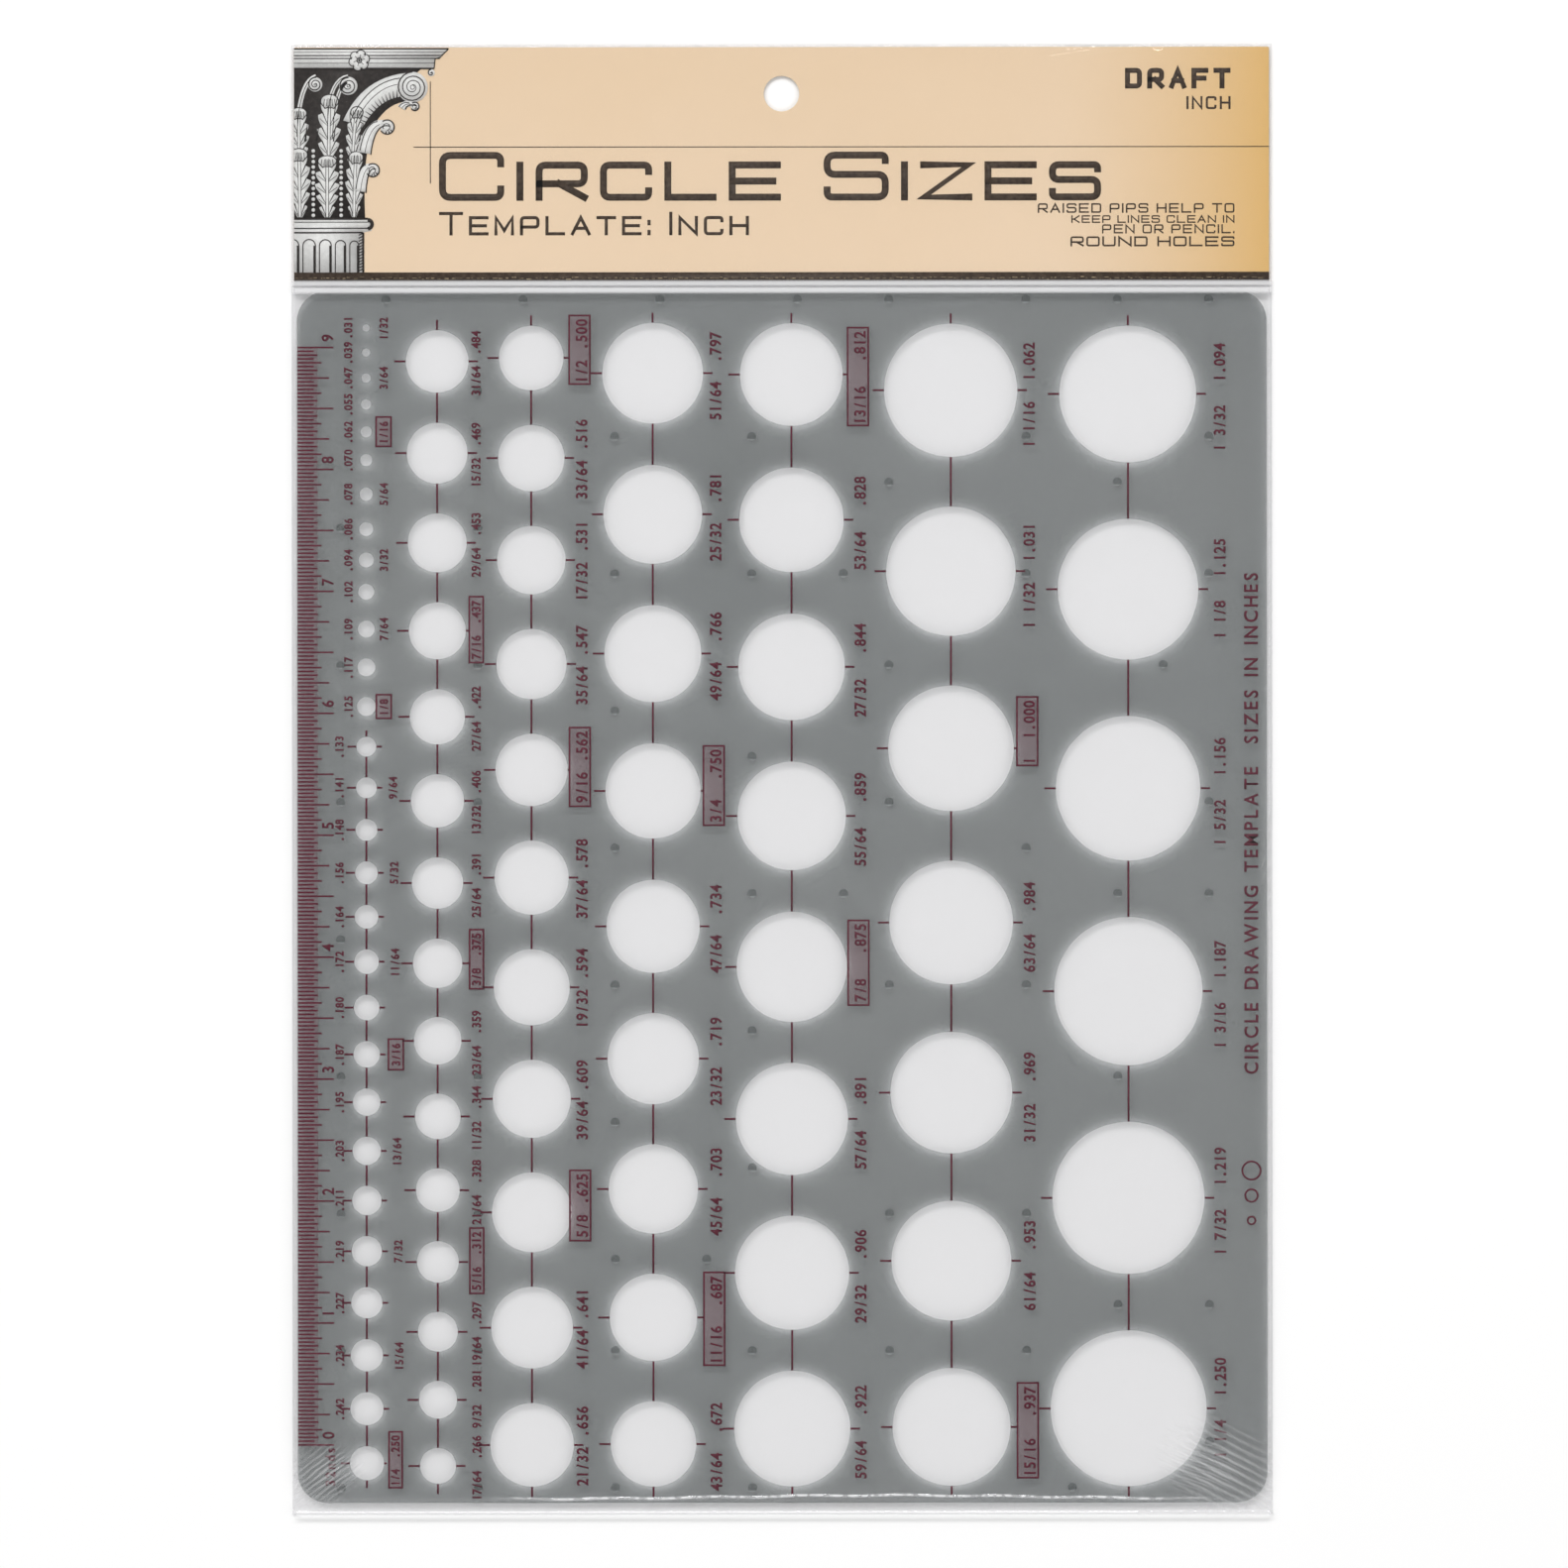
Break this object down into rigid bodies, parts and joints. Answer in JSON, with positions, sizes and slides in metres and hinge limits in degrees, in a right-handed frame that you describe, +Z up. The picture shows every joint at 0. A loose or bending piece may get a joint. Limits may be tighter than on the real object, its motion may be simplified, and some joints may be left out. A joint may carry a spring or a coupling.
{
  "type": "circle template",
  "caption": "Tinted see-through drawing template with graded round holes and an inch edge scale, in a flat clear sleeve with a header card and hang hole.",
  "frame": {"origin": "middle of the back film's outer face, on the surface the sleeve lies on", "axes": "+Z up out of the front film, +Y along the sleeve towards the header card, +X to the right"},
  "size_m": [0.2044, 0.3064, 0.0021],
  "materials": {
    "clear_film": "thin clear glossy film",
    "printed_card": "smooth printed card",
    "tinted_sheet": "smoke grey see-through sheet with a fine matte face",
    "template_ink": "dark maroon screen-printed ink",
    "header_ink": "dark brown and black offset print"
  },
  "bodies": {
    "sleeve": {"sleeve_back_film": "clear_film", "sleeve_front_film": "clear_film", "header_card": "printed_card"},
    "template": {"template_sheet": "tinted_sheet"}
  },
  "joints": [
    {"name": "template_pull", "type": "slide", "parent": "sleeve", "child": "template", "axis": [0, -1, 0], "range_m": [0, 0.265]}
  ]
}
